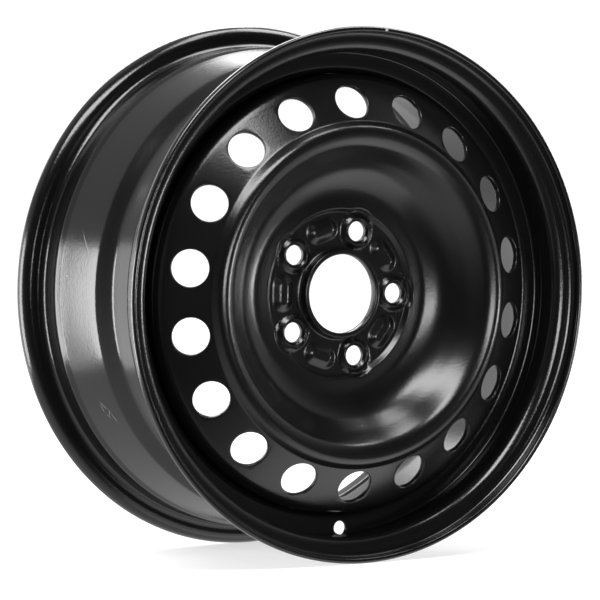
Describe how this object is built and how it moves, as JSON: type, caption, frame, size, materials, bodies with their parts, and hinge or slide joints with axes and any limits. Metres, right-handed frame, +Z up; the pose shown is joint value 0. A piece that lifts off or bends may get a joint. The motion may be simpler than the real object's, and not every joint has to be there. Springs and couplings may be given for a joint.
{
  "type": "steel wheel rim",
  "caption": "Pressed-steel road wheel without tyre: rolled drop-centre rim with curled flanges and a welded dished disc with round vents and raised bolt seats.",
  "frame": {"origin": "on the axle line, in the middle of the hoop's width", "axes": "+Y along the axle towards the vehicle, -Y towards the street, +Z up with the valve hole at the bottom"},
  "size_m": [0.44, 0.191, 0.44],
  "materials": {
    "rim_paint": "satin black paint",
    "disc_paint": "satin black paint",
    "weld_paint": "satin black paint over weld"
  },
  "bodies": {
    "root": {"rim": "rim_paint", "disc": "disc_paint", "weld_1": "weld_paint", "weld_2": "weld_paint", "weld_3": "weld_paint", "weld_4": "weld_paint", "weld_5": "weld_paint", "weld_6": "weld_paint", "weld_7": "weld_paint", "weld_8": "weld_paint"}
  },
  "joints": []
}
